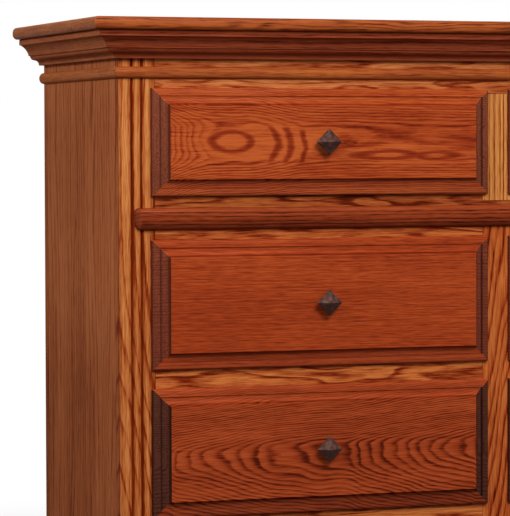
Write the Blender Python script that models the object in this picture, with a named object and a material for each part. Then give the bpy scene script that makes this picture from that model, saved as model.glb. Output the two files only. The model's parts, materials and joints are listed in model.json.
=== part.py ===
"""Oak mule chest: two columns of drawers in a face-framed case, on a moulded plinth with bracket feet.

Metres, +Z up. The front faces -Y and the origin is on the floor, under the middle of the top.
"""
import math

import bmesh
import bpy

# Drawer fronts and the frame that shows between them
FRONT_WIDTH = 0.634
UPPER_FRONT_HEIGHT = 0.187
LOWER_FRONT_HEIGHT = 0.2245
LOWER_ROWS = 3
FRONT_THICKNESS = 0.020
FRONT_OVERLAY = 0.007
FRONT_STANDOFF = 0.0005
STILE_REVEAL = 0.0575
CENTRE_REVEAL = 0.0415
TOP_RAIL_REVEAL = 0.016
WAIST_REVEAL = 0.0754
MID_RAIL_REVEAL = 0.0327
BOTTOM_RAIL_REVEAL = 0.020

# Moulded edge of a drawer front, from the lip inwards
LIP_HEIGHT = 0.005
THUMB_WIDTH = 0.0132
THUMB_RISE = 0.0055
QUIRK_WALL = 0.0003
QUIRK_WIDTH = 0.0018
QUIRK_DROP = 0.0024
COVE_WIDTH = 0.0122
COVE_RISE = 0.0064
COVE_TURN = math.radians(50)
ARRIS_WIDTH = 0.0023
EDGE_STEPS = 4

# Case
CASE_DEPTH = 0.457
FRAME_THICKNESS = 0.0206
SIDE_THICKNESS = 0.0206
BACK_THICKNESS = 0.006
RABBET_WIDTH = 0.010
CASE_FLOOR = 0.070
CENTRE_HOUSING = 0.019
WAIST_RAIL_DROP = 0.0383

# Grooves run down the face of the outer stiles, counted from the corner of the case
STILE_GROOVES = 2
GROOVE_INSET = 0.0236
GROOVE_PITCH = 0.0175
GROOVE_WIDTH = 0.0060
GROOVE_DEPTH = 0.0036

# Top and mouldings
TOP_OVERHANG = 0.060
SLAB_THICKNESS = 0.022
SLAB_ROUNDING = 0.0088
SLAB_STEPS = 6
CROWN_HEIGHT = 0.0475
CROWN_PROJECTION = 0.0475
CROWN_FILLET = 0.0105
CROWN_UNDERCUT = 0.0022
CROWN_COVE_TURN = math.radians(45)
CROWN_STEP_OUT = 0.0300
CROWN_STEP_UP = 0.0195
CROWN_STEP_DROP = 0.0020
CROWN_STEP_WIDTH = 0.0030
CROWN_FOOT_OUT = 0.0100
CROWN_FOOT_UP = 0.0015
COVE_STEPS = 7
OGEE_STEPS = 4
FRIEZE_HEIGHT = 0.0137
BEAD_HEIGHT = 0.0205
BEAD_PROUD = 0.0096
BEAD_STEPS = 10
NOSING_HEIGHT = 0.038
NOSING_PROUD = 0.013
NOSING_INSET = 0.0266
NOSING_DROP = 0.020
NOSING_TOP_ROUND = 0.008
NOSING_UNDER_RISE = 0.016
NOSING_UNDER_REACH = 0.0115
NOSING_STEPS = 6
NOSING_END_STEPS = 6

# Plinth with bracket feet
PLINTH_HEIGHT = 0.109
PLINTH_THICKNESS = 0.020
PLINTH_MOULD_HEIGHT = 0.016
PLINTH_MOULD_WIDTH = 0.012
PLINTH_FILLET = 0.002
BRACKET_RISE = 0.058
BRACKET_TOE = 0.016
BRACKET_STEP = 0.006
BRACKET_REACH = 0.055
FRONT_FOOT = 0.150
SIDE_FOOT = 0.110
BLOCK_SIZE = 0.050

# Frames inside the case that carry and guide the drawers
DUST_THICKNESS = 0.018
DADO_DEPTH = 0.006
GUIDE_HEIGHT = 0.016
GUIDE_CLEARANCE = 0.0020
RUNNER_WIDTH = 0.050
PANEL_RECESS = 0.006
RUNNER_LIFT = 0.0005

# Drawer boxes
BOX_WALL = 0.014
BOX_BOTTOM = 0.006
BOX_BOTTOM_RISE = 0.012
BOX_SIDE_CLEARANCE = 0.0025
BOX_TOP_CLEARANCE = 0.006
BOX_BACK_CLEARANCE = 0.040

# Pyramid knobs
KNOB_SIDE = 0.033
KNOB_PROJECTION = 0.027
KNOB_PYRAMID = 0.0115
KNOB_EDGE = 0.0025
KNOB_UNDERCUT = 0.0035
HEAD_ROOT_RADIUS = 0.0075
STEM_RADIUS = 0.0060
STEM_FOOT_RADIUS = 0.0090
STEM_FOOT_HEIGHT = 0.0020
STEM_FLARE = 0.0025
SCREW_RADIUS = 0.0020
SCREW_HEAD_RADIUS = 0.0045
SCREW_HEAD_HEIGHT = 0.0025
STEM_SEGMENTS = 20
SCREW_HOLE_SEGMENTS = 12

# Fit between pieces that touch, and the limits of the mesh work
GAP = 0.0003
WELD = 1e-6
SMOOTH_ANGLE = math.radians(32)

# Places that follow from the sizes above
HALF_CASE = STILE_REVEAL + FRONT_WIDTH + CENTRE_REVEAL / 2
HALF_INSIDE = HALF_CASE - SIDE_THICKNESS
COLUMN_X = (CENTRE_REVEAL + FRONT_WIDTH) / 2
HALF_OPENING = FRONT_WIDTH / 2 - FRONT_OVERLAY
STILE_INNER = HALF_CASE - STILE_REVEAL - FRONT_OVERLAY
CENTRE_HALF = CENTRE_REVEAL / 2 + FRONT_OVERLAY
FRONT_Y = (TOP_OVERHANG - CASE_DEPTH) / 2
BACK_Y = FRONT_Y + CASE_DEPTH
FRAME_BACK_Y = FRONT_Y + FRAME_THICKNESS + GAP
PANEL_FRONT_Y = BACK_Y - BACK_THICKNESS
MITRE_EASE = GAP / math.sqrt(2)

ROW_PITCH = LOWER_FRONT_HEIGHT + MID_RAIL_REVEAL
LOWEST_FRONT_Z = PLINTH_HEIGHT + BOTTOM_RAIL_REVEAL
LOWER_FRONT_Z = [LOWEST_FRONT_Z + ROW_PITCH * (LOWER_ROWS - 1 - i) for i in range(LOWER_ROWS)]
UPPER_FRONT_Z = LOWER_FRONT_Z[0] + LOWER_FRONT_HEIGHT + WAIST_REVEAL
BEAD_Z = UPPER_FRONT_Z + UPPER_FRONT_HEIGHT + TOP_RAIL_REVEAL
CROWN_Z = BEAD_Z + BEAD_HEIGHT + FRIEZE_HEIGHT
SLAB_Z = CROWN_Z + CROWN_HEIGHT
CASE_TOP = SLAB_Z - GAP
WAIST_RAIL_Z = UPPER_FRONT_Z - WAIST_RAIL_DROP
NOSING_Z = UPPER_FRONT_Z - NOSING_DROP - NOSING_HEIGHT

# Each row from the top: bottom of the front, height of the front
ROWS = [(UPPER_FRONT_Z, UPPER_FRONT_HEIGHT)] + [(z, LOWER_FRONT_HEIGHT) for z in LOWER_FRONT_Z]
TOP_FRAME_Z = UPPER_FRONT_Z + UPPER_FRONT_HEIGHT - FRONT_OVERLAY + RUNNER_LIFT
BOX_DEPTH = PANEL_FRONT_Y - BOX_BACK_CLEARANCE - FRONT_Y
SIDES = (("left", -1), ("right", 1))


def opening_bottom(row):
    return ROWS[row][0] + FRONT_OVERLAY


def opening_top(row):
    return ROWS[row][0] + ROWS[row][1] - FRONT_OVERLAY


def runner_top(row):
    return opening_bottom(row) + RUNNER_LIFT


def linear(channel):
    return channel / 12.92 if channel <= 0.04045 else ((channel + 0.055) / 1.055) ** 2.4


def make_material(name, colour, roughness, metallic=0.0):
    material = bpy.data.materials.new(name)
    material.use_nodes = True
    shader = material.node_tree.nodes["Principled BSDF"]
    rgb = [linear(int(colour[i:i + 2], 16) / 255) for i in (0, 2, 4)]
    shader.inputs["Base Color"].default_value = (*rgb, 1.0)
    shader.inputs["Roughness"].default_value = roughness
    shader.inputs["Metallic"].default_value = metallic
    return material


def add_object(name, bm, material=None, parent=None, location=(0.0, 0.0, 0.0), rotation=(0.0, 0.0, 0.0)):
    """One object from a finished mesh, with its faces outwards and its curves smooth."""
    bmesh.ops.recalc_face_normals(bm, faces=bm.faces[:])
    mesh = bpy.data.meshes.new(name)
    bm.to_mesh(mesh)
    bm.free()
    mesh.shade_smooth()
    mesh.set_sharp_from_angle(angle=SMOOTH_ANGLE)
    if material:
        mesh.materials.append(material)
    obj = bpy.data.objects.new(name, mesh)
    obj.location = location
    obj.rotation_euler = rotation
    obj.parent = parent
    bpy.context.scene.collection.objects.link(obj)
    return obj


def add_helper(name, bm, **placing):
    """A shape that only cuts or joins another one."""
    obj = add_object(name, bm, **placing)
    obj.hide_render = True
    obj.display_type = "WIRE"
    return obj


def combine(obj, helper, operation):
    modifier = obj.modifiers.new(helper.name, "BOOLEAN")
    modifier.operation = operation
    modifier.solver = "EXACT"
    modifier.object = helper


def box_mesh(size):
    """A box in the middle of its own frame."""
    bm = bmesh.new()
    bmesh.ops.create_cube(bm, size=1.0)
    bmesh.ops.scale(bm, vec=size, verts=bm.verts[:])
    return bm


def board(name, low, high, material):
    """A plain board between two opposite corners."""
    size = [b - a for a, b in zip(low, high)]
    centre = [(a + b) / 2 for a, b in zip(low, high)]
    return add_object(name, box_mesh(size), material, location=centre)


def extruded(outline, vector):
    """A flat outline pulled along a vector."""
    bm = bmesh.new()
    face = bm.faces.new([bm.verts.new(point) for point in outline])
    pulled = bmesh.ops.extrude_face_region(bm, geom=[face])
    moved = [item for item in pulled["geom"] if isinstance(item, bmesh.types.BMVert)]
    bmesh.ops.translate(bm, vec=vector, verts=moved)
    return bm


def turned(profile, segments):
    """A profile of (radius, height) points spun round Z; its first and last points are on the axis."""
    bm = bmesh.new()
    verts = [bm.verts.new((radius, 0.0, height)) for radius, height in profile]
    edges = [bm.edges.new(pair) for pair in zip(verts, verts[1:])]
    round_z = {"axis": (0, 0, 1), "cent": (0, 0, 0), "angle": 2 * math.pi}
    bmesh.ops.spin(bm, geom=verts + edges, steps=segments, **round_z)
    bmesh.ops.remove_doubles(bm, verts=bm.verts[:], dist=WELD)
    return bm


def cove(start, end, steps):
    """Quarter curve that leaves its start level and reaches its end upright."""
    angles = [math.pi / 2 * (1 - i / steps) for i in range(steps + 1)]
    width = start[0] - end[0]
    drop = start[1] - end[1]
    return [(start[0] - width * math.cos(a), end[1] + drop * math.sin(a)) for a in angles]


def ovolo(start, end, steps):
    """Quarter curve that leaves its start upright and reaches its end level."""
    angles = [math.pi / 2 * i / steps for i in range(steps + 1)]
    width = start[0] - end[0]
    drop = start[1] - end[1]
    return [(end[0] + width * math.cos(a), start[1] - drop * math.sin(a)) for a in angles]


def hollow(start, end, turn, steps):
    """Shallow arc from start to end that turns by this angle, hollow to the right of the way."""
    across = end[0] - start[0]
    up = end[1] - start[1]
    chord = 2 * math.sin(turn / 2)
    points = []
    for angle in [turn * (i / steps - 0.5) for i in range(steps + 1)]:
        along = 0.5 + math.sin(angle) / chord
        sag = (math.cos(angle) - math.cos(turn / 2)) / chord
        points.append((start[0] + across * along + up * sag, start[1] + up * along - across * sag))
    return points


def half_round(proud, height, steps):
    """Half ellipse from its top to its bottom, as (outward, up) points."""
    angles = [math.pi / 2 - math.pi * i / steps for i in range(steps + 1)]
    return [(proud * math.cos(a), height / 2 * (1 + math.sin(a))) for a in angles]


def crown_outline():
    top = CROWN_HEIGHT - GAP
    fillet = CROWN_HEIGHT - CROWN_FILLET
    start = (CROWN_PROJECTION - CROWN_UNDERCUT, fillet)
    step = (CROWN_STEP_OUT, CROWN_STEP_UP)
    under = (CROWN_STEP_OUT - CROWN_STEP_WIDTH, CROWN_STEP_UP - CROWN_STEP_DROP)
    foot = (CROWN_FOOT_OUT, CROWN_FOOT_UP)
    waist = ((under[0] + foot[0]) / 2, (under[1] + foot[1]) / 2)
    points = [(GAP, top), (CROWN_PROJECTION, top), (CROWN_PROJECTION, fillet)]
    points += hollow(start, step, CROWN_COVE_TURN, COVE_STEPS)
    points += [(step[0], under[1])]
    points += ovolo(under, waist, OGEE_STEPS)
    points += cove(waist, foot, OGEE_STEPS)[1:]
    return points + [(CROWN_FOOT_OUT, 0.0), (GAP, 0.0)]


def bead_outline():
    curve = half_round(BEAD_PROUD - GAP, BEAD_HEIGHT, BEAD_STEPS)
    return [(GAP + out, up) for out, up in curve]


def nosing_outline():
    """From the frame out along the top, down the face and back under, as (outward, up) points."""
    brow = (NOSING_PROUD, NOSING_HEIGHT - NOSING_TOP_ROUND)
    crest = (NOSING_PROUD - NOSING_TOP_ROUND, NOSING_HEIGHT)
    chin = (NOSING_PROUD, NOSING_UNDER_RISE)
    throat = (NOSING_PROUD - NOSING_UNDER_REACH, 0.0)
    points = [(0.0, NOSING_HEIGHT)]
    points += reversed(ovolo(brow, crest, NOSING_STEPS))
    points += ovolo(chin, throat, NOSING_STEPS)
    return points + [(0.0, 0.0)]


def plinth_outline():
    shoulder = PLINTH_HEIGHT - PLINTH_MOULD_HEIGHT
    neck = PLINTH_THICKNESS - PLINTH_MOULD_WIDTH
    lip = (PLINTH_THICKNESS - PLINTH_FILLET, shoulder)
    crest = (neck, PLINTH_HEIGHT - PLINTH_FILLET)
    points = [(GAP, 0.0), (PLINTH_THICKNESS, 0.0), (PLINTH_THICKNESS, shoulder)]
    points += cove(lip, crest, COVE_STEPS)
    return points + [(neck, PLINTH_HEIGHT), (GAP, PLINTH_HEIGHT)]


def moulding_front(name, outline, base_z, material):
    """A length across the front, cut at 45 degrees at both ends; the outline is (outward, up)."""
    bm = extruded([(-1.0, -out, up) for out, up in outline], (2.0, 0.0, 0.0))
    for vert in bm.verts:
        reach = HALF_CASE - vert.co.y - MITRE_EASE
        vert.co.x = math.copysign(reach, vert.co.x)
    return add_object(name, bm, material, location=(0.0, FRONT_Y, base_z))


def moulding_side(name, outline, base_z, side, material):
    """A length along one side, from the mitre at the front to the back of the case."""
    bm = extruded([(side * out, 0.0, up) for out, up in outline], (0.0, CASE_DEPTH, 0.0))
    for vert in bm.verts:
        if vert.co.y < CASE_DEPTH / 2:
            vert.co.y = MITRE_EASE - abs(vert.co.x)
    return add_object(name, bm, material, location=(side * HALF_CASE, FRONT_Y, base_z))


def bracket_cutter(name, half_length, depth, location, turn):
    """The space between two bracket feet: upright toe, a step, then a quarter curve to the straight top."""
    knee = (half_length - BRACKET_STEP, BRACKET_TOE)
    shoulder = (half_length - BRACKET_REACH, BRACKET_RISE)
    edge = [(half_length, -BRACKET_TOE), (half_length, BRACKET_TOE)]
    edge += ovolo(knee, shoulder, COVE_STEPS)
    outline = [(x, -depth / 2, z) for x, z in edge]
    outline += [(-x, -depth / 2, z) for x, z in reversed(edge)]
    space = extruded(outline, (0.0, depth, 0.0))
    return add_helper(name, space, location=location, rotation=(0.0, 0.0, turn))


def side_panel(name, side, material):
    """Side of the case, with a dado for each frame on its inner face and a rabbet for the back."""
    levels = [runner_top(row) - DUST_THICKNESS for row in reversed(range(len(ROWS)))] + [TOP_FRAME_Z]
    inner = SIDE_THICKNESS
    points = [(0.0, CASE_FLOOR), (inner, CASE_FLOOR)]
    for level in levels:
        low = level - GAP
        high = level + DUST_THICKNESS + GAP
        points += [(inner, low), (inner - DADO_DEPTH, low), (inner - DADO_DEPTH, high), (inner, high)]
    points += [(inner, CASE_TOP), (0.0, CASE_TOP)]
    length = BACK_Y - FRAME_BACK_Y
    bm = extruded([(-side * x, 0.0, z) for x, z in points], (0.0, length, 0.0))
    panel = add_object(name, bm, material, location=(side * HALF_CASE, FRAME_BACK_Y, 0.0))
    size = (2 * RABBET_WIDTH, 2 * (BACK_THICKNESS + GAP), 2 * CASE_TOP)
    place = (side * HALF_INSIDE, BACK_Y, CASE_TOP / 2)
    rabbet = add_helper(name + "_rabbet", box_mesh(size), location=place)
    combine(panel, rabbet, "DIFFERENCE")
    return panel


def sink(bm, face, margin, depth):
    """Leaves a margin round a face and pushes the middle straight in."""
    inward = face.normal * -depth
    bmesh.ops.inset_region(bm, faces=[face], thickness=margin, depth=0.0, use_even_offset=True)
    middle = bmesh.ops.extrude_discrete_faces(bm, faces=[face])["faces"][0]
    bmesh.ops.translate(bm, vec=inward, verts=middle.verts[:])


def recess_panels(bm, level):
    """Sinks the panels between the rails of a frame, on its wide flat faces at one level."""
    wide = []
    for face in bm.faces:
        across = [vert.co.x for vert in face.verts]
        flat = all(abs(vert.co.z - level) < GAP / 2 for vert in face.verts)
        if flat and max(across) - min(across) > 2 * RUNNER_WIDTH:
            wide.append(face)
    for face in wide:
        sink(bm, face, RUNNER_WIDTH, PANEL_RECESS)


def frame_length():
    return PANEL_FRONT_Y - GAP - FRAME_BACK_Y - GAP


def dust_frame(name, row, material):
    """Frame and panels under one row: runners, a guide on each side and one between the columns."""
    top = DUST_THICKNESS
    tip = top + GUIDE_HEIGHT
    reach = HALF_INSIDE + DADO_DEPTH - GAP
    wall = HALF_INSIDE - GAP
    outer = COLUMN_X + box_half_width() + GUIDE_CLEARANCE
    centre = COLUMN_X - box_half_width() - GUIDE_CLEARANCE
    half = [(reach, 0.0), (reach, top), (wall, top), (wall, tip), (outer, tip), (outer, top)]
    half += [(centre, top), (centre, tip)]
    points = half + [(-x, z) for x, z in reversed(half)]
    bm = extruded([(x, 0.0, z) for x, z in points], (0.0, frame_length(), 0.0))
    bmesh.ops.recalc_face_normals(bm, faces=bm.faces[:])
    recess_panels(bm, top)
    recess_panels(bm, 0.0)
    location = (0.0, FRAME_BACK_Y + GAP, runner_top(row) - DUST_THICKNESS)
    return add_object(name, bm, material, location=location)


def top_frame(name, material):
    """Frame over the upper row that keeps its drawers level when they are out."""
    reach = HALF_INSIDE + DADO_DEPTH - GAP
    bm = box_mesh((2 * reach, frame_length(), DUST_THICKNESS))
    bmesh.ops.recalc_face_normals(bm, faces=bm.faces[:])
    recess_panels(bm, DUST_THICKNESS / 2)
    recess_panels(bm, -DUST_THICKNESS / 2)
    centre_y = FRAME_BACK_Y + GAP + frame_length() / 2
    centre_z = TOP_FRAME_Z + DUST_THICKNESS / 2
    return add_object(name, bm, material, location=(0.0, centre_y, centre_z))


def box_half_width():
    return HALF_OPENING - BOX_SIDE_CLEARANCE


def box_height(row):
    return opening_top(row) - BOX_TOP_CLEARANCE - runner_top(row) - GAP


def top_slab(name, material):
    """Board with its front and side edges rounded over; the back edge stays square."""
    bm = box_mesh((2 * (HALF_CASE + TOP_OVERHANG), CASE_DEPTH + TOP_OVERHANG, SLAB_THICKNESS))
    back = (CASE_DEPTH + TOP_OVERHANG) / 2
    level = [e for e in bm.edges if abs(e.verts[0].co.z - e.verts[1].co.z) < WELD]
    shaped = [e for e in level if min(v.co.y for v in e.verts) < back - GAP]
    bmesh.ops.bevel(bm, geom=shaped, offset=SLAB_ROUNDING, segments=SLAB_STEPS, profile=0.5,
                    affect="EDGES")
    return add_object(name, bm, material, location=(0.0, 0.0, SLAB_Z + SLAB_THICKNESS / 2))


def waist_rail(name, material):
    """Rail under the upper row, housed in the middle for the foot of the upper centre stile."""
    half = STILE_INNER - GAP
    top = opening_bottom(0)
    floor = top - CENTRE_HOUSING
    notch = CENTRE_HALF + GAP
    points = [(-half, WAIST_RAIL_Z), (half, WAIST_RAIL_Z), (half, top), (notch, top), (notch, floor)]
    points += [(-notch, floor), (-notch, top), (-half, top)]
    bm = extruded([(x, 0.0, z) for x, z in points], (0.0, FRAME_THICKNESS, 0.0))
    return add_object(name, bm, material, location=(0.0, FRONT_Y, 0.0))


def waist_nosing(name, material):
    """Rounded length whose ends are turned round to meet the frame."""
    half = HALF_CASE - NOSING_INSET - NOSING_PROUD
    bm = bmesh.new()
    verts = [bm.verts.new((-half, -out, up)) for out, up in nosing_outline()]
    edges = [bm.edges.new(pair) for pair in zip(verts, verts[1:])]
    pulled = bmesh.ops.extrude_edge_only(bm, edges=edges)["geom"]
    far_verts = [item for item in pulled if isinstance(item, bmesh.types.BMVert)]
    pulled_edges = [item for item in pulled if isinstance(item, bmesh.types.BMEdge)]
    far_edges = [e for e in pulled_edges if all(v in far_verts for v in e.verts)]
    bmesh.ops.translate(bm, vec=(2 * half, 0.0, 0.0), verts=far_verts)
    for geom, x, turn in ((verts + edges, -half, -1), (far_verts + far_edges, half, 1)):
        quarter = {"axis": (0, 0, 1), "cent": (x, 0, 0), "angle": turn * math.pi / 2}
        bmesh.ops.spin(bm, geom=geom, steps=NOSING_END_STEPS, **quarter)
    bmesh.ops.remove_doubles(bm, verts=bm.verts[:], dist=WELD)
    rim = [e for e in bm.edges if e.is_boundary]
    bmesh.ops.contextual_create(bm, geom=rim)
    return add_object(name, bm, material, location=(0.0, FRONT_Y - GAP, NOSING_Z))


def drawer_front(name, row, material, parent):
    """Overlay front: a lip, a thumb moulding, a quirk and a cove worked round the edges of the field."""
    height = ROWS[row][1]
    bm = box_mesh((FRONT_WIDTH, LIP_HEIGHT, height))
    bmesh.ops.translate(bm, vec=(0.0, -LIP_HEIGHT / 2, 0.0), verts=bm.verts[:])
    bmesh.ops.recalc_face_normals(bm, faces=bm.faces[:])
    field = next(f for f in bm.faces if f.normal.y < -0.5)
    quirk = (THUMB_WIDTH + QUIRK_WIDTH, THUMB_RISE - QUIRK_DROP)
    cove_end = (quirk[0] + COVE_WIDTH, quirk[1] + COVE_RISE)
    edge = ovolo((0.0, 0.0), (THUMB_WIDTH, THUMB_RISE), EDGE_STEPS)
    edge += [(THUMB_WIDTH + QUIRK_WALL, quirk[1])]
    edge += hollow(quirk, cove_end, COVE_TURN, EDGE_STEPS)
    edge += [(cove_end[0] + ARRIS_WIDTH, FRONT_THICKNESS - LIP_HEIGHT)]
    for start, end in zip(edge, edge[1:]):
        bmesh.ops.inset_region(bm, faces=[field], thickness=end[0] - start[0], depth=end[1] - start[1],
                               use_even_offset=True)
    return add_object(name, bm, material, parent, location=(0.0, -FRONT_STANDOFF, 0.0))


def drawer_box(name, row, material, parent):
    """Open box behind a front: four walls, and a bottom set up into them."""
    height = box_height(row)
    floor = runner_top(row) + GAP
    bm = box_mesh((2 * box_half_width(), BOX_DEPTH, height))
    bmesh.ops.recalc_face_normals(bm, faces=bm.faces[:])
    mouth = next(f for f in bm.faces if f.normal.z > 0.5)
    sink(bm, mouth, BOX_WALL, height - BOX_BOTTOM_RISE - BOX_BOTTOM)
    base = next(f for f in bm.faces if all(v.co.z < GAP - height / 2 for v in f.verts))
    sink(bm, base, BOX_WALL, BOX_BOTTOM_RISE)
    centre_z = floor + height / 2 - ROWS[row][0] - ROWS[row][1] / 2
    centre_y = GAP - FRONT_STANDOFF + BOX_DEPTH / 2
    return add_object(name, bm, material, parent, location=(0.0, centre_y, centre_z))


def knob(name, material, parent):
    """Square pyramid on its corner, on a turned stem whose screw passes through the front and the box."""
    corner = KNOB_SIDE / math.sqrt(2)
    rim = KNOB_PROJECTION - KNOB_PYRAMID
    under = rim - KNOB_EDGE
    root = under - KNOB_UNDERCUT
    pyramid = [(0.0, KNOB_PROJECTION), (corner, rim), (corner, under)]
    pyramid += [(HEAD_ROOT_RADIUS, root), (0.0, root)]
    grip = FRONT_THICKNESS + BOX_WALL + 2 * GAP
    end = grip + SCREW_HEAD_HEIGHT
    stem = [(0.0, rim), (STEM_RADIUS, rim), (STEM_RADIUS, STEM_FOOT_HEIGHT + STEM_FLARE)]
    stem += [(STEM_FOOT_RADIUS, STEM_FOOT_HEIGHT), (STEM_FOOT_RADIUS, GAP), (SCREW_RADIUS, GAP)]
    stem += [(SCREW_RADIUS, -grip), (SCREW_HEAD_RADIUS, -grip), (SCREW_HEAD_RADIUS, -end), (0.0, -end)]
    field_y = -FRONT_THICKNESS - FRONT_STANDOFF
    placing = {"parent": parent, "location": (0.0, field_y, 0.0), "rotation": (math.pi / 2, 0.0, 0.0)}
    piece = add_object(name, turned(pyramid, 4), material, **placing)
    shank = add_helper(name + "_stem", turned(stem, STEM_SEGMENTS), **placing)
    combine(piece, shank, "UNION")
    return piece


def drawer(column, side, row, front_material, box_material, knob_material):
    """One drawer, hung on an empty in the middle of its opening so that it slides along Y."""
    label = f"{column}_{row + 1}"
    slide = bpy.data.objects.new(f"drawer_slide_{label}", None)
    slide.location = (side * COLUMN_X, FRONT_Y, ROWS[row][0] + ROWS[row][1] / 2)
    bpy.context.scene.collection.objects.link(slide)
    front = drawer_front(f"drawer_front_{label}", row, front_material, slide)
    box = drawer_box(f"drawer_box_{label}", row, box_material, slide)
    knob(f"drawer_knob_{label}", knob_material, slide)
    length = 2 * (FRONT_THICKNESS + BOX_WALL)
    hole = bmesh.new()
    radius = SCREW_RADIUS + 2 * GAP
    bmesh.ops.create_cone(hole, cap_ends=True, segments=SCREW_HOLE_SEGMENTS, radius1=radius,
                          radius2=radius, depth=length)
    cutter = add_helper(f"screw_hole_{label}", hole, parent=slide, rotation=(math.pi / 2, 0.0, 0.0))
    combine(front, cutter, "DIFFERENCE")
    combine(box, cutter, "DIFFERENCE")


def outer_stile(name, side, material):
    """Stile at a corner of the case, with V grooves from its foot to its head."""
    width = HALF_CASE - STILE_INNER
    half = GROOVE_WIDTH / 2
    points = [(0.0, 0.0)]
    for i in range(STILE_GROOVES):
        centre = GROOVE_INSET + i * GROOVE_PITCH
        points += [(centre - half, 0.0), (centre, GROOVE_DEPTH), (centre + half, 0.0)]
    points += [(width, 0.0), (width, FRAME_THICKNESS), (0.0, FRAME_THICKNESS)]
    bm = extruded([(-side * x, y, 0.0) for x, y in points], (0.0, 0.0, CASE_TOP - CASE_FLOOR))
    return add_object(name, bm, material, location=(side * HALF_CASE, FRONT_Y, CASE_FLOOR))


def face_frame(material):
    """Stiles and rails round the drawer openings."""
    front, back = FRONT_Y, FRONT_Y + FRAME_THICKNESS
    low_rail_top = opening_bottom(len(ROWS) - 1)
    for column, side in SIDES:
        outer_stile(f"{column}_stile", side, material)
        ends = sorted((side * (STILE_INNER - GAP), side * (CENTRE_HALF + GAP)))
        board(f"under_waist_rail_{column}", (ends[0], front, opening_top(1)),
              (ends[1], back, WAIST_RAIL_Z - GAP), material)
        for row in range(1, len(ROWS) - 1):
            board(f"mid_rail_{column}_{row}", (ends[0], front, opening_top(row + 1)),
                  (ends[1], back, opening_bottom(row)), material)
    half = STILE_INNER - GAP
    board("top_rail", (-half, front, opening_top(0)), (half, back, CASE_TOP), material)
    board("bottom_rail", (-half, front, CASE_FLOOR), (half, back, low_rail_top), material)
    waist_rail("waist_rail", material)
    housing = opening_bottom(0) - CENTRE_HOUSING
    board("centre_stile_upper", (-CENTRE_HALF, front, housing + GAP),
          (CENTRE_HALF, back, opening_top(0) - GAP), material)
    board("centre_stile_lower", (-CENTRE_HALF, front, low_rail_top + GAP),
          (CENTRE_HALF, back, WAIST_RAIL_Z - GAP), material)


def plinth(material, block_material):
    """Three moulded lengths with bracket feet, and the blocks in their corners that carry the case."""
    front = moulding_front("plinth_front", plinth_outline(), 0.0, material)
    depth = 4 * PLINTH_THICKNESS
    half = HALF_CASE + PLINTH_THICKNESS - FRONT_FOOT
    combine(front, bracket_cutter("front_bracket", half, depth, (0.0, FRONT_Y, 0.0), 0.0), "DIFFERENCE")
    half = (CASE_DEPTH + PLINTH_THICKNESS) / 2 - SIDE_FOOT
    middle = FRONT_Y + (CASE_DEPTH - PLINTH_THICKNESS) / 2
    for column, side in SIDES:
        length = moulding_side(f"plinth_{column}", plinth_outline(), 0.0, side, material)
        place = (side * HALF_CASE, middle, 0.0)
        combine(length, bracket_cutter(f"{column}_bracket", half, depth, place, math.pi / 2), "DIFFERENCE")
        ends = sorted((side * HALF_CASE, side * (HALF_CASE - BLOCK_SIZE)))
        for place, y in (("front", FRONT_Y), ("back", BACK_Y - BLOCK_SIZE)):
            board(f"corner_block_{place}_{column}", (ends[0], y, 0.0),
                  (ends[1], y + BLOCK_SIZE, CASE_FLOOR - GAP), block_material)


def build():
    oak_frame = make_material("oak_frame", "BC7434", 0.38)
    oak_front = make_material("oak_front", "A0431F", 0.36)
    oak_side = make_material("oak_side", "80492B", 0.42)
    oak_moulding = make_material("oak_moulding", "8A3B1B", 0.38)
    maple = make_material("maple", "D8B98A", 0.50)
    poplar = make_material("poplar", "C9B083", 0.60)
    plywood = make_material("plywood", "A8713F", 0.60)
    bronze = make_material("dark_bronze", "2E2824", 0.42, 1.0)

    top_slab("top_slab", oak_moulding)
    moulding_front("crown_front", crown_outline(), CROWN_Z, oak_moulding)
    moulding_front("bead_front", bead_outline(), BEAD_Z, oak_moulding)
    for column, side in SIDES:
        moulding_side(f"crown_{column}", crown_outline(), CROWN_Z, side, oak_moulding)
        moulding_side(f"bead_{column}", bead_outline(), BEAD_Z, side, oak_moulding)
        side_panel(f"{column}_side_panel", side, oak_side)
    face_frame(oak_frame)
    waist_nosing("waist_nosing", oak_moulding)
    plinth(oak_moulding, poplar)

    half_back = HALF_INSIDE + RABBET_WIDTH - GAP
    board("back_panel", (-half_back, PANEL_FRONT_Y, CASE_FLOOR), (half_back, BACK_Y, CASE_TOP), plywood)
    for row in range(len(ROWS)):
        dust_frame(f"dust_frame_{row + 1}", row, poplar)
    top_frame("top_frame", poplar)
    for column, side in SIDES:
        for row in range(len(ROWS)):
            drawer(column, side, row, oak_front, maple, bronze)


for old in list(bpy.data.objects):
    bpy.data.objects.remove(old, do_unlink=True)
build()
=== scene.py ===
"""Looks of the oak mule chest: eased boards, moulded drawer fronts, bronze knobs and a plain studio."""

import json
import math

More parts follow.
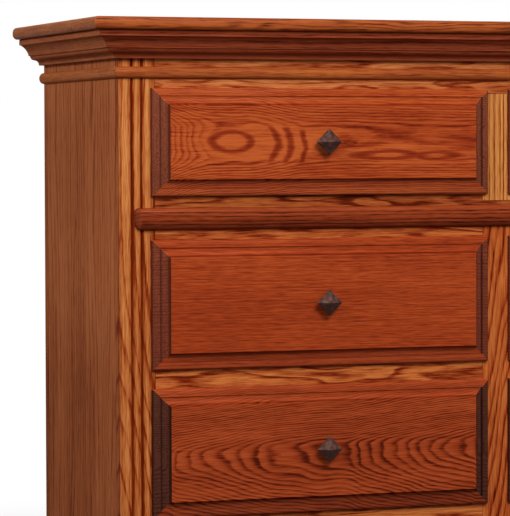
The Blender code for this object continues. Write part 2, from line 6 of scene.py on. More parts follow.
import bpy
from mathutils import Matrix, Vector


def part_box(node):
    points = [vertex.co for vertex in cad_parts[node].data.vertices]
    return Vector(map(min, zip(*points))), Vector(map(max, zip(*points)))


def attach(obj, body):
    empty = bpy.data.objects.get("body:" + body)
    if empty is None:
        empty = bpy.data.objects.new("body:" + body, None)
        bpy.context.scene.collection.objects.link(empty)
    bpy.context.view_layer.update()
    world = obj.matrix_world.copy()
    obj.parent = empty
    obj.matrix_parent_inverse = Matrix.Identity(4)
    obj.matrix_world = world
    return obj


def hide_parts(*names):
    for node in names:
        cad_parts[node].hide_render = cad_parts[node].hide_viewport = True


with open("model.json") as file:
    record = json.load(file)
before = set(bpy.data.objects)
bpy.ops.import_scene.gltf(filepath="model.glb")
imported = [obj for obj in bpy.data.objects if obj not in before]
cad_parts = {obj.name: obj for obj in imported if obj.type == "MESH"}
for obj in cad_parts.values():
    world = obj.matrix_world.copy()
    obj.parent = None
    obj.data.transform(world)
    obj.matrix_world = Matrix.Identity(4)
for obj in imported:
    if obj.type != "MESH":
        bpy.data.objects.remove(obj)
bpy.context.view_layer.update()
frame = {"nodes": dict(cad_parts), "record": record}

BODY_OF = {n: body for body, nodes in frame["record"]["behaviour"]["bodies"].items() for n in nodes}
SLOT_OF = {part["node"]: part["material_slot"] for part in frame["record"]["subparts"]}
COLUMNS = ("left", "right")
UPPER_ROWS = (1,)
LOWER_ROWS = (2, 3, 4)

# Eased edges, in metres.
MERGE = 0.00001
FLAT_ANGLE = math.radians(0.5)
ARRIS_ANGLE = math.radians(35)
EASE_SEGMENTS = 2
BOARD_EASE = 0.0004
MOULDING_EASE = 0.0005
KNOB_EASE = 0.0007
BOX_EASE = 0.0012

# Moulded edge of a drawer front, in metres, from the lip inwards: a thumb, a quirk, a cove and an arris.
LIP = 0.005
THUMB_WIDTH = 0.0132
THUMB_RISE = 0.0055
QUIRK_WALL = 0.0003
QUIRK_FLOOR = 0.0015
QUIRK_DROP = 0.0024
COVE_WIDTH = 0.0122
COVE_RISE = 0.0064
COVE_TURN = math.radians(50)
ARRIS_WIDTH = 0.0023
ARRIS_RISE = 0.0055
EDGE_STEPS = 8
EDGE_BAND = THUMB_WIDTH + QUIRK_WALL + QUIRK_FLOOR + COVE_WIDTH + ARRIS_WIDTH
FACES_OUT = -0.9

# Stain and painted shade on that edge, by shares of its width from the lip inwards: both gather in the quirk
# and under the arris. How much of that the side bands, the lower band and the end grain take, and where the
# lower thumb and the top band's painted light end.
EDGE_STAIN_AND_SHADE = [(0.0, 0.3), (0.04, 0.0), (0.40, 0.0), (0.455, 0.9), (0.50, 0.7), (0.56, 0.0), (0.87, 0.0),
              (0.94, 0.8), (0.985, 0.8), (0.995, 0.0)]
QUIRK_STAIN_AND_SHADE = 0.45
LOW_STAIN_AND_SHADE = 0.10
END_STAIN_AND_SHADE = 0.60
THUMB_SHARE = 0.42
TOP_LIGHT_SHARE = 0.70

# On that edge: painted light that pales the top band's quirk, where light falls on it, and year lines that
# are fainter on the top band; then a painted glint that pales the upper mitres, and its width in metres. The
# lower band is partly end grain.
TOP_QUIRK_PAINTED_LIGHT = 0.12
TOP_LINES = 0.5
MITRE_PAINTED_GLINT = 0.45
MITRE_GLINT_WIDTH = 0.0014
LOW_END = 0.30

# Camera, in metres and degrees: fitted to the edges in the photograph.
CAMERA_PLACE = (-2.23685, -5.0145, 1.0220)
CAMERA_TURN = (87.91, 0.15, -20.2155)
CAMERA_LENS = 205.37
CAMERA_SENSOR = 36.0

# Studio, in metres: each lamp's place, size and power, and the paper's fade to white and its least glow.
FLOOR_SIZE = 30.0
AMBIENT = 0.28
LIGHT_AIM = (-0.2, -0.2, 0.85)
LAMPS = {
    "key_light": ((-0.1, -3.6, 3.15), 1.9, 134.0),
    "fill_light": ((-3.4, -1.5, 2.5), 0.7, 45.0),
    "back_light": ((2.6, 3.6, 2.6), 2.5, 90.0),
}
WHITE = "#FFFFFF"
PAPER = [(0.3, "#E6E4E1"), (0.7, "#EBE9E6")]
PAPER_BOUNCE = "#6A6866"
PAPER_MOTTLE = 3.0
PAPER_FADE = {"From Min": 1.3, "From Max": 3.4}
PAPER_GLOW = 0.58

# A thin satin lacquer, as a weak coat so that the stain stays as deep as it is written.
COAT = 0.05
SIDE_COAT = 0.015
TOP_COAT = 0.09
NOSING_COAT = 0.10
COAT_ROUGHNESS = 0.22

# Oak stain, as latewood, ground, year line and pore, then end grain light and dark.
TONES = {
    "gold": ("#DC9654", "#C47A3C", "#8E4216", "#6A2604", "#8A4A2A", "#54230F"),
    "honey": ("#CC8049", "#B05C2E", "#842F12", "#641F0A", "#8A4A2A", "#54230F"),
    "blush": ("#CE783C", "#AC5427", "#7C280D", "#5C1906", "#8F5030", "#5E2E18"),
    "blond": ("#D68E50", "#BC6C36", "#86300C", "#6A2004", "#8A4A2A", "#54230F"),
    "copper": ("#CA7037", "#A84B1E", "#742006", "#541303", "#8F5030", "#5E2E18"),
    "rust": ("#B4622C", "#944420", "#66200A", "#4C1503", "#8F5030", "#5E2E18"),
    "red": ("#BC5A2A", "#9C3C1A", "#742410", "#571708", "#84452F", "#5C2A1C"),
    "russet": ("#B24C22", "#963818", "#702310", "#571708", "#7C3C28", "#542419"),
    "deep_red": ("#B04E27", "#923819", "#64200D", "#481408", "#583024", "#361811"),
    "nosing": ("#A04622", "#853416", "#5C1D09", "#3F1004", "#8A3C20", "#5C2211"),
    "dark": ("#9A482A", "#83371E", "#5F2112", "#451409", "#6E3828", "#421A14"),
    "brown": ("#C87648", "#B26239", "#8A4424", "#642A10", "#8A5030", "#5E301A"),
    # The next two are lighter, greyer copies of the oak for the moulding returns on the shaded sides: painted
    # light.
    "bead_return_painted_light": ("#CC7A48", "#B6663A", "#924A2A", "#6E341A", "#8A5030", "#5E301A"),
    "crown_return_painted_light": ("#BE6F45", "#AA5C38", "#884329", "#672F1A", "#8A5030", "#5E301A"),
    "top": ("#AC5628", "#93441E", "#6C2D0F", "#4C1B06", "#BC6C3C", "#904A24"),
}

# Noise in the oak: length and width of its cells in metres, its draw and its detail. The pore dashes are
# 1.5 mm wide, coarser than the real 0.3 mm, so that they show.
WAVER = (0.06, 0.012, 5, 2.0)
SWAY = (0.05, 0.020, 6, 3.0)
PATCHES = (0.16, 0.018, 7, 2.0)
DASHES = (0.030, 0.0015, 9, 2.0)
FIBRE = (0.15, 0.0034, 13, 3.0)
CLOUDS = (0.40, 0.06, 17, 2.0)
DOTS = (0.0028, 0.0028, 21, 2.0)
LAYERS = (0.07, 0.0034, 21, 3.0)
WANDER_DETAIL = 1.5
NOISE_ROUGHNESS = 0.55
NOISE_MEAN = 0.5
DRAW_SHIFT = (3.17, 1.73, 2.39)

# Year lines in the oak: how far apart the staves of a panel were cut, how softly a figure's straight
# strip and a slant begin and how far the waver moves a line, all in metres, and how often the years
# change their width.
STAVE_SHIFT = 9.0
FLAT_BLEND = 0.012
SLANT_BLEND = 0.20
WAVER_REACH = 0.0026
UNEVEN_SCALE = 0.41

# Darkness over a year, at shares of its dark part, and at its end, where the next year's band begins.
PORE_BAND = [(0.0, 0.25), (0.20, 0.85), (0.42, 1.0), (0.70, 0.62), (1.0, 0.22), (1.5, 0.0)]
NEXT_BAND = [(0.95, 0.0), (1.0, 0.25)]

# Spans for a Map Range node: shades of staves, strength of single years and of patches, the pore dashes,
# how they break up the year lines, faces that count as end grain, and a plain fade.
STAVE_SPAN = {"To Min": 0.17, "To Max": 0.43}
YEAR_SPAN = {"To Min": 0.60}
PATCH_SPAN = {"From Min": 0.30, "From Max": 0.62, "To Min": 0.45}
DASH_SPAN = {"From Min": 0.42, "From Max": 0.66}
ROW_SPAN = {"To Min": 0.70, "To Max": 1.15}
END_SPAN = {"From Min": 0.10, "From Max": 0.40}
FADE = {"To Min": 1.0, "To Max": 0.0}

# Depth of the oak's stain, from 0 in pale latewood to 1 in a pore: the plain ground, what dashes, fibre
# and clouds add, what is taken off, where the tones stand, and the year lines in the end grain.
SHADE = 0.30
DASH_DEPTH = 0.55
FIBRE_DEPTH = 1.2
CLOUD_DEPTH = 0.45
DEPTH_START = 0.20
GROUND_AT = 0.32
LINE_AT = 0.70
END_LIGHT_AT = 0.38
END_DARK_AT = 0.90
END_LINES = 0.55
OAK_ROUGH = {"To Min": 0.40, "To Max": 0.60}
OAK_RELIEF = {"Strength": 0.25, "Distance": 0.0006}

# Marks of a figure: their depth, the share of a mark that is full, how far rings (as a share) and
# strokes (in metres) sway, where strokes and clear ground fade, and the lines and the shade on clear
# ground.
MARK_DEPTH = 0.64
MARK_CORE = 0.08
RING_SWAY = 0.5
STROKE_SWAY = 0.018
MARK_FADE = 0.6
CLEAR_LINES = 0.2
CLEAR_SHADE = 0.16

# Bare woods by depth, each with its seed; then their grain: noise as in the oak, the wander and the
# width of a year in metres, and what year lines and clouds add.
MAPLE, MAPLE_SEED = [(0.50, "#EACDA2"), (0.80, "#DBB688"), (1.0, "#C39A6C")], 3
POPLAR, POPLAR_SEED = [(0.50, "#D2B98C"), (0.80, "#BC9F70"), (1.0, "#9A7D52")], 7
VENEER, VENEER_SEED = [(0.50, "#B87C4C"), (0.80, "#A2683C"), (1.0, "#824C28")], 11
BARE_SLOW = (0.5, 0.05, 0, 2.0)
BARE_FIBRE = (0.12, 0.004, 3, 3.0)
BARE_CLOUDS = (0.30, 0.08, 5, 2.0)
BARE_WANDER = 0.06
BARE_YEAR = 0.013
BARE_LINES = 0.22
BARE_CLOUD_DEPTH = 0.45
BARE_ROUGH = {"To Min": 0.45, "To Max": 0.62}
BARE_RELIEF = {"Strength": 0.12, "Distance": 0.0004}

# Dovetails of the drawer boxes and nails of the back, in metres; the flare is a slope.
BOX_WALL = 0.014
PIN_PITCH = 0.032
PIN_HALF = 0.0032
PIN_FLARE = 0.15
PIN_LINE = 0.0005
PIN_DOTS = (0.002, 0.002, 15, 2.0)
PIN_END = [(0.3, "#B8905C"), (0.7, "#96703F")]
PIN_JOINT = "#6E5028"
NAIL_PITCH = 0.11
NAIL_INSET = 0.008
NAIL_RADIUS = 0.0022
NAIL_HEAD = "#3A332E"

# Bronze by its patches and by painted light, the scales of its patches and its grit, and how much painted
# light pales the upper facets of a knob and darkens the lower ones.
BRONZE = [(0.36, "#331B15"), (0.62, "#4D332E"), (0.8, "#6A463A")]
BRONZE_PATCHES = 130.0
BRONZE_GRIT = 900.0
BRONZE_ROUGH = {"To Min": 0.34, "To Max": 0.55}
BRONZE_RELIEF = {"Strength": 0.15, "Distance": 0.0003}
FACET_PAINTED_LIGHT = 0.30


def linear(hex_colour):
    """sRGB hex to the linear colour that a shader takes."""
    channels = [int(hex_colour[i:i + 2], 16) / 255 for i in (1, 3, 5)]
    return [c / 12.92 if c <= 0.04045 else ((c + 0.055) / 1.055) ** 2.4 for c in channels] + [1.0]


def add(tree, kind, links=None, stops=None, **settings):
    """Adds one node with its settings, its ramp stops (hex or grey) and its links or socket values."""
    fresh = tree.nodes.new("ShaderNode" + kind)
    for name, value in settings.items():
        setattr(fresh, name, value)
    if stops:
        ramp = fresh.color_ramp.elements
        while len(ramp) < len(stops):
            ramp.new(1.0)
        for element, (position, colour) in zip(ramp, stops):
            element.position = position
            element.color = linear(colour) if isinstance(colour, str) else (colour, colour, colour, 1.0)
    for socket, source in (links or {}).items():
        if isinstance(source, bpy.types.Node):
            source = source.outputs[0]
        if isinstance(source, bpy.types.NodeSocket):
            tree.links.new(source, fresh.inputs[socket])
        else:
            fresh.inputs[socket].default_value = source
    return fresh


def blend(tree, share, first, second):
    """The first colour where share is 0 and the second where it is 1."""
    return add(tree, "Mix", {0: share, 6: first, 7: second}, data_type="RGBA").outputs[2]


def new_material(name):
    """An empty material and its tree."""
    material = bpy.data.materials.new(name)
    material.use_nodes = True
    material.node_tree.nodes.clear()
    return material, material.node_tree


def finish_material(tree, **links):
    """Puts the surface on the output; a socket's name is written with _ for a space."""
    sockets = {name.replace("_", " "): source for name, source in links.items()}
    surface = add(tree, "BsdfPrincipled", sockets)
    add(tree, "OutputMaterial", {"Surface": surface})


def streaks(tree, board, seed, noise):
    """Noise drawn out along the board: noise gives its cells' length and width, its draw and its detail."""
    length, width, draw, detail = noise
    cells = add(tree, "Mapping", {
        "Vector": board, "Location": [(seed + draw) * shift for shift in DRAW_SHIFT],
        "Scale": (1 / length, 1 / width, 1 / width)})
    return add(tree, "TexNoise", {
        "Vector": cells, "Scale": 1.0, "Detail": detail, "Roughness": NOISE_ROUGHNESS})


def from_edge(tree, place, low, high):
    """How far a point is from the nearer of two opposite edges."""
    aside = add(tree, "Math", {0: place, 1: (low + high) / 2}, operation="SUBTRACT")
    aside = add(tree, "Math", {0: aside}, operation="ABSOLUTE")
    return add(tree, "Math", {0: (high - low) / 2, 1: aside}, operation="SUBTRACT")


def from_mark(tree, place, pitch):
    """How far a point is from the nearest of the marks that stand at this pitch."""
    beside = add(tree, "Math", {0: place, 1: pitch}, operation="FLOORED_MODULO")
    return add(tree, "Math", {0: beside, 1: pitch / 2}, operation="SUBTRACT")


def from_spot(tree, place, x, z, half_length, half_height):
    """How far a point, measured from a front's middle, is from a spot, as a share of the ellipse round it."""
    spot = add(tree, "VectorMath", {0: place, 1: (x, 0.0, z)}, operation="SUBTRACT")
    size = (1 / half_length, 0.0, 1 / half_height)
    spot = add(tree, "VectorMath", {0: spot, 1: size}, operation="MULTIPLY")
    return add(tree, "VectorMath", {0: spot}, operation="LENGTH").outputs["Value"]


def facing(tree, axis):
    """How much a face looks along an axis."""
    normal = add(tree, "NewGeometry").outputs["True Normal"]
    return add(tree, "SeparateXYZ", {0: normal}).outputs[axis]


def end_of_board(tree, axis):
    """1 on faces that cut across the grain."""
    across = add(tree, "Math", {0: facing(tree, axis)}, operation="ABSOLUTE")
    return add(tree, "MapRange", {"Value": across, **END_SPAN})


def soft_mark(tree, aside, width):
    """1 along the middle of a mark, fading to 0 at its width."""
    return add(tree, "MapRange", {"Value": aside, "From Min": width * MARK_CORE, "From Max": width, **FADE},
               interpolation_type="SMOOTHSTEP")


def figure_marks(tree, face, sway, figure):
    """Dark rings and strokes that stand alone in a figure, and the clear ground round them."""
    marks = clear = 0.0
    for *spot, width in figure["rings"]:
        edge = from_spot(tree, face, *spot)
        edge = add(tree, "Math", {0: sway, 1: RING_SWAY, 2: edge}, operation="MULTIPLY_ADD")
        edge = add(tree, "Math", {0: edge, 1: 1.0}, operation="SUBTRACT")
        edge = add(tree, "Math", {0: edge}, operation="ABSOLUTE")
        marks = add(tree, "Math", {0: soft_mark(tree, edge, width), 1: marks}, operation="MAXIMUM")
    for x, z, half_height, width, bend in figure["strokes"]:
        spot = add(tree, "VectorMath", {0: face, 1: (x, 0.0, z)}, operation="SUBTRACT")
        spot = add(tree, "SeparateXYZ", {0: spot})
        up = add(tree, "Math", {0: spot.outputs["Z"], 1: half_height}, operation="DIVIDE")
        up = add(tree, "Math", {0: up, 1: 2.0}, operation="POWER")
        aside = add(tree, "Math", {0: up, 1: bend, 2: spot.outputs["X"]}, operation="MULTIPLY_ADD")
        aside = add(tree, "Math", {0: sway, 1: STROKE_SWAY, 2: aside}, operation="MULTIPLY_ADD")
        aside = add(tree, "Math", {0: aside}, operation="ABSOLUTE")
        ends = add(tree, "MapRange", {"Value": up, "From Min": MARK_FADE, **FADE})
        stroke = add(tree, "Math", {0: soft_mark(tree, aside, width), 1: ends}, operation="MULTIPLY")
        marks = add(tree, "Math", {0: stroke, 1: marks}, operation="MAXIMUM")
    for *spot, share in figure["clear"]:
        ground = from_spot(tree, face, *spot)
        ground = add(tree, "MapRange", {
            "Value": ground, "From Min": MARK_FADE, "To Min": share, "To Max": 0.0},
            interpolation_type="SMOOTHSTEP")
        clear = add(tree, "Math", {0: ground, 1: clear}, operation="MAXIMUM")
    return marks, clear


def year_lines(tree, board, heart, cut, seed, front, face, figure):
    """Dark pore bands of the years. Also gives the pore dashes that break them up and their slow wander.

    A year is a distance from the heart, with a slow wander, a slant, a small waver and the moves of a figure.
    """
    along, across, deep = add(tree, "SeparateXYZ", {0: board}).outputs
    aside = across
    if figure:
        above = add(tree, "Math", {0: across, 1: heart[0]}, operation="SUBTRACT")
        aside = add(tree, "Math", {0: above}, operation="ABSOLUTE")
        aside = add(tree, "Math", {0: above, 1: figure["lean"], 2: aside}, operation="MULTIPLY_ADD")
        aside = add(tree, "Math", {0: aside, 1: figure["flat"]}, operation="SUBTRACT")
        aside = add(tree, "Math", {0: aside, 1: 0.0, 2: FLAT_BLEND}, operation="SMOOTH_MAX")
        aside = add(tree, "Math", {0: aside, 1: heart[0]}, operation="ADD")
    section = add(tree, "CombineXYZ", {1: aside, 2: deep})
    radius = add(tree, "VectorMath", {0: section, 1: (0.0, *heart)}, operation="DISTANCE").outputs["Value"]
    slow = streaks(tree, board, seed, (*cut["cell"], 0, WANDER_DETAIL))
    radius = add(tree, "Math", {0: slow, 1: cut["wander"], 2: radius}, operation="MULTIPLY_ADD")
    if "slant" in cut:
        slope, level = cut["slant"]
        below = add(tree, "Math", {0: along, 1: level, 2: SLANT_BLEND}, operation="SMOOTH_MIN")
        radius = add(tree, "Math", {0: below, 1: slope, 2: radius}, operation="MULTIPLY_ADD")
    waver = streaks(tree, board, seed, WAVER)
    radius = add(tree, "Math", {0: waver, 1: WAVER_REACH, 2: radius}, operation="MULTIPLY_ADD")
    if figure:
        share = add(tree, "MapRange", {"Value": along, "From Min": front[0].x, "From Max": front[1].x})
        shift = add(tree, "ValToRGB", {"Fac": share}, figure["stops"])
        shift.color_ramp.interpolation = "CARDINAL"
        radius = add(tree, "Math", {0: shift, 1: figure["reach"], 2: radius}, operation="MULTIPLY_ADD")
        for *spot, rise in figure["eyes"]:
            eye = from_spot(tree, face, *spot)
            eye = add(tree, "MapRange", {"Value": eye, "To Min": rise, "To Max": 0.0},
                      interpolation_type="SMOOTHSTEP")
            radius = add(tree, "Math", {0: radius, 1: eye}, operation="ADD")

    # Years of uneven width. Single years and patches are weaker, and dashes of pores break the bands up.
    years = add(tree, "Math", {0: radius, 1: cut["ring"]}, operation="DIVIDE")
    uneven = add(tree, "TexNoise", {"W": years, "Scale": UNEVEN_SCALE, "Detail": 1.0}, noise_dimensions="1D")
    years = add(tree, "Math", {0: uneven, 1: cut["uneven"], 2: years}, operation="MULTIPLY_ADD")
    season = add(tree, "Math", {0: years}, operation="FRACT")
    band = [(share * cut["dark"], value) for share, value in PORE_BAND]
    lines = add(tree, "ValToRGB", {"Fac": season}, band + NEXT_BAND)
    year = add(tree, "Math", {0: years}, operation="FLOOR")
    strength = add(tree, "TexWhiteNoise", {"W": year}, noise_dimensions="1D").outputs["Value"]
    strength = add(tree, "MapRange", {"Value": strength, **YEAR_SPAN})
    patch = add(tree, "MapRange", {"Value": streaks(tree, board, seed, PATCHES), **PATCH_SPAN})
    strength = add(tree, "Math", {0: strength, 1: patch}, operation="MULTIPLY")
    dashes = add(tree, "MapRange", {"Value": streaks(tree, board, seed, DASHES), **DASH_SPAN})
    rows = add(tree, "MapRange", {"Value": dashes, **ROW_SPAN})
    lines = add(tree, "Math", {0: lines, 1: strength}, operation="MULTIPLY")
    lines = add(tree, "Math", {0: lines, 1: rows}, operation="MULTIPLY")
    return lines, dashes, slow


def edge_stain_and_light(tree, along, across, front, cut, lines, depth, end_depth):
    """Stains the moulded edge of a drawer front and paints light and shade on it. Gives both depths of stain
    and how much is end grain.
    """
    inside = from_edge(tree, along, front[0].x, front[1].x)
    below = from_edge(tree, across, front[0].z, front[1].z)
    band = add(tree, "Math", {0: below, 1: EDGE_BAND}, operation="MINIMUM")
    end_face = add(tree, "Math", {0: inside, 1: band}, operation="LESS_THAN")
    inset = add(tree, "Math", {0: inside, 1: below}, operation="MINIMUM")
    inset = add(tree, "Math", {0: inset, 1: EDGE_BAND}, operation="DIVIDE")
    # Stain and painted shade, darkest in the quirk and under the arris.
    stain = add(tree, "ValToRGB", {"Fac": inset}, EDGE_STAIN_AND_SHADE)
    mitred = add(tree, "Math", {0: inside, 1: EDGE_BAND}, operation="MINIMUM")
    topmost = add(tree, "Math", {0: front[1].z, 1: across}, operation="SUBTRACT")
    topmost = add(tree, "Math", {0: topmost, 1: mitred}, operation="LESS_THAN")
    lowest = add(tree, "Math", {0: across, 1: front[0].z}, operation="SUBTRACT")
    lowest = add(tree, "Math", {0: lowest, 1: mitred}, operation="LESS_THAN")

    # The top band has faint year lines, painted light that pales its quirk, and its cut's painted light and
    # shade. The lower band is duller.
    faint = add(tree, "Math", {0: lines, 1: topmost}, operation="MULTIPLY")
    depth = add(tree, "Math", {0: faint, 1: -TOP_LINES * cut["lines"], 2: depth}, operation="MULTIPLY_ADD")
    # Painted light and shade on the top band, which faces the light, as the cut gives it.
    depth = add(tree, "Math", {0: topmost, 1: cut["top"], 2: depth}, operation="MULTIPLY_ADD")
    # Painted light pales the quirk on the top band, where light falls on it; elsewhere stain and painted
    # shade gather there.
    lit_top = add(tree, "Math", {0: inset, 1: TOP_LIGHT_SHARE}, operation="LESS_THAN")
    lit_top = add(tree, "Math", {0: topmost, 1: lit_top}, operation="MULTIPLY")
    gain = add(tree, "MapRange", {"Value": lit_top, "To Min": QUIRK_STAIN_AND_SHADE, "To Max": -TOP_QUIRK_PAINTED_LIGHT})
    gain = add(tree, "Math", {0: lowest, 1: LOW_STAIN_AND_SHADE - QUIRK_STAIN_AND_SHADE, 2: gain}, operation="MULTIPLY_ADD")
    depth = add(tree, "Math", {0: stain, 1: gain, 2: depth}, operation="MULTIPLY_ADD")
    end_depth = add(tree, "Math", {0: stain, 1: END_STAIN_AND_SHADE, 2: end_depth}, operation="MULTIPLY_ADD")
    end_face = add(tree, "Math", {0: lowest, 1: LOW_END, 2: end_face}, operation="MULTIPLY_ADD")
    # Painted light and shade on the lower thumb, which faces away from the light, as the cut gives it.
    thumb = add(tree, "Math", {0: inset, 1: THUMB_SHARE}, operation="LESS_THAN")
    thumb = add(tree, "Math", {0: thumb, 1: lowest}, operation="MULTIPLY")
    depth = add(tree, "Math", {0: thumb, 1: cut["low"], 2: depth}, operation="MULTIPLY_ADD")

    # Painted glints pale the upper mitres.
    apart = add(tree, "Math", {0: inside, 1: below}, operation="SUBTRACT")
    apart = add(tree, "Math", {0: apart}, operation="ABSOLUTE")
    made_lighter = add(tree, "MapRange", {
        "Value": apart, "From Max": MITRE_GLINT_WIDTH, "To Min": MITRE_PAINTED_GLINT, "To Max": 0.0})
    edge = add(tree, "Math", {0: inset, 1: 1.0}, operation="LESS_THAN")
    upper = add(tree, "Math", {0: across, 1: (front[0].z + front[1].z) / 2}, operation="GREATER_THAN")
    edge = add(tree, "Math", {0: edge, 1: upper}, operation="MULTIPLY")
    made_lighter = add(tree, "Math", {0: made_lighter, 1: edge}, operation="MULTIPLY")
    depth = add(tree, "Math", {0: depth, 1: made_lighter}, operation="SUBTRACT")
    end_depth = add(tree, "Math", {0: end_depth, 1: made_lighter}, operation="SUBTRACT")
    return depth, end_depth, end_face


def red_oak(name, axes, tone, heart, cut, seed, figure=None, front=None, stave=None, stain_and_painted_light=(), coat=COAT):
    """Red oak under a satin stain: dark pore bands along the year lines, short pore dashes and fine fibre.

    axes names the board's length, width and depth, and heart is the middle of the tree in width and depth.
    front is the box of a drawer front, whose edges are moulded, and figure is how year lines move along it.
    stave is the width of the boards that a panel is glued up from; the heart is then in each of them.
    Bands where the stain deepens, and bands of painted light and shade, come each as an axis, two places on
    it, an amount and how far the edge strays. coat is the lacquer's weight.
    """
    material, tree = new_material(name)
    place = add(tree, "TexCoord").outputs["Object"]
    part = add(tree, "SeparateXYZ", {0: place})
    along, across, deep = [part.outputs[axis] for axis in axes]
    shade, face = SHADE, None
    if stave:
        share = add(tree, "Math", {0: across, 1: stave}, operation="DIVIDE")
        index = add(tree, "Math", {0: share}, operation="FLOOR")
        odd = add(tree, "TexWhiteNoise", {"W": index}, noise_dimensions="1D").outputs["Value"]
        along = add(tree, "Math", {0: odd, 1: STAVE_SHIFT, 2: along}, operation="MULTIPLY_ADD")
        across = add(tree, "Math", {0: across, 1: stave}, operation="FLOORED_MODULO")
        shade = add(tree, "MapRange", {"Value": odd, **STAVE_SPAN})
    if figure:
        face = add(tree, "VectorMath", {0: place, 1: (front[0] + front[1]) / 2}, operation="SUBTRACT")
    board = add(tree, "CombineXYZ", {0: along, 1: across, 2: deep})
    lines, dashes, slow = year_lines(tree, board, heart, cut, seed, front, face, figure)
    if figure:
        sway = streaks(tree, board, seed, SWAY)
        sway = add(tree, "Math", {0: sway, 1: NOISE_MEAN}, operation="SUBTRACT")
        marks, clear = figure_marks(tree, face, sway, figure)
        faint = add(tree, "MapRange", {"Value": clear, "To Min": 1.0, "To Max": CLEAR_LINES})
        lines = add(tree, "Math", {0: lines, 1: faint}, operation="MULTIPLY")
        marks = add(tree, "Math", {0: marks, 1: MARK_DEPTH}, operation="MULTIPLY")
        lines = add(tree, "Math", {0: lines, 1: marks}, operation="MAXIMUM")
        shade = add(tree, "MapRange", {"Value": clear, "To Min": SHADE, "To Max": CLEAR_SHADE})

    # Depth of the stain along the grain.
    depth = add(tree, "Math", {0: lines, 1: cut["lines"], 2: shade}, operation="MULTIPLY_ADD")
    depth = add(tree, "Math", {0: dashes, 1: DASH_DEPTH * cut["fibre"], 2: depth}, operation="MULTIPLY_ADD")
    for noise, weight in ((FIBRE, FIBRE_DEPTH * cut["fibre"]), (CLOUDS, CLOUD_DEPTH)):
        mottle = streaks(tree, board, seed, noise)
        mottle = add(tree, "Math", {0: mottle, 1: NOISE_MEAN}, operation="SUBTRACT")
        depth = add(tree, "Math", {0: mottle, 1: weight, 2: depth}, operation="MULTIPLY_ADD")
    depth = add(tree, "Math", {0: depth, 1: DEPTH_START}, operation="SUBTRACT")
    # Bands where the stain deepens, and bands of painted light and shade.
    for axis, start, end, amount, stray in stain_and_painted_light:
        here = add(tree, "Math", {0: slow, 1: stray, 2: part.outputs[axis]}, operation="MULTIPLY_ADD")
        gain = add(tree, "MapRange", {
            "Value": here, "From Min": start + stray / 2, "From Max": end + stray / 2, "To Max": amount})
        depth = add(tree, "Math", {0: depth, 1: gain}, operation="ADD")

    # End grain drinks the stain: dark, with pore dots on a drawer front or flat layers on a board.
    if front:
        spots = streaks(tree, place, seed, DOTS)
    else:
        spots = add(tree, "CombineXYZ", {0: across, 1: deep, 2: along})
        spots = streaks(tree, spots, seed, LAYERS)
    end_depth = add(tree, "Math", {0: lines, 1: END_LINES, 2: spots}, operation="MULTIPLY_ADD")
    if front:
        depth, end_depth, end_face = edge_stain_and_light(tree, along, across, front, cut, lines, depth, end_depth)
    else:
        end_face = end_of_board(tree, axes[0])

    light, ground, line, pore, end_light, end_dark = TONES[tone]
    long_grain = add(tree, "ValToRGB", {"Fac": depth}, [
        (0.0, light), (GROUND_AT, ground), (LINE_AT, line), (1.0, pore)])
    end_grain = add(tree, "ValToRGB", {"Fac": end_depth}, [
        (END_LIGHT_AT, end_light), (END_DARK_AT, end_dark)])
    colour = blend(tree, end_face, long_grain, end_grain)
    rough = add(tree, "MapRange", {"Value": depth, **OAK_ROUGH})
    relief = add(tree, "Math", {0: depth, 1: -1.0}, operation="MULTIPLY")
    bump = add(tree, "Bump", {"Height": relief, **OAK_RELIEF})
    finish_material(tree, Base_Color=colour, Roughness=rough, Normal=bump, Specular_IOR_Level=0.0,
                    Coat_Weight=coat, Coat_Roughness=COAT_ROUGHNESS)
    return material


def pale_grain(tree, board, colours, seed):
    """Close-pored bare wood: faint year lines, fine fibre and slow clouds. Gives its colour and its depth."""
    part = add(tree, "SeparateXYZ", {0: board})
    radius = add(tree, "Math", {0: part.outputs[1], 1: part.outputs[2]}, operation="ADD")
    slow = streaks(tree, board, seed, BARE_SLOW)
    radius = add(tree, "Math", {0: slow, 1: BARE_WANDER, 2: radius}, operation="MULTIPLY_ADD")
    years = add(tree, "Math", {0: radius, 1: BARE_YEAR}, operation="DIVIDE")
    season = add(tree, "Math", {0: years}, operation="FRACT")
    fibre = streaks(tree, board, seed, BARE_FIBRE)
    cloud = streaks(tree, board, seed, BARE_CLOUDS)
    depth = add(tree, "Math", {0: season, 1: BARE_LINES, 2: fibre}, operation="MULTIPLY_ADD")
    depth = add(tree, "Math", {0: cloud, 1: BARE_CLOUD_DEPTH, 2: depth}, operation="MULTIPLY_ADD")
    return add(tree, "ValToRGB", {"Fac": depth}, colours), depth


def finish_bare(tree, colour, depth):
    """The soft sheen and slight relief of planed wood."""
    rough = add(tree, "MapRange", {"Value": depth, **BARE_ROUGH})
    bump = add(tree, "Bump", {"Height": depth, **BARE_RELIEF})
    finish_material(tree, Base_Color=colour, Roughness=rough, Normal=bump, Specular_IOR_Level=0.25)


def bare_poplar(name):
    """Poplar of the frames and blocks inside: pale, a little green, with long soft streaks."""
    material, tree = new_material(name)
    board = add(tree, "TexCoord").outputs["Object"]
    finish_bare(tree, *pale_grain(tree, board, POPLAR, POPLAR_SEED))
    return material


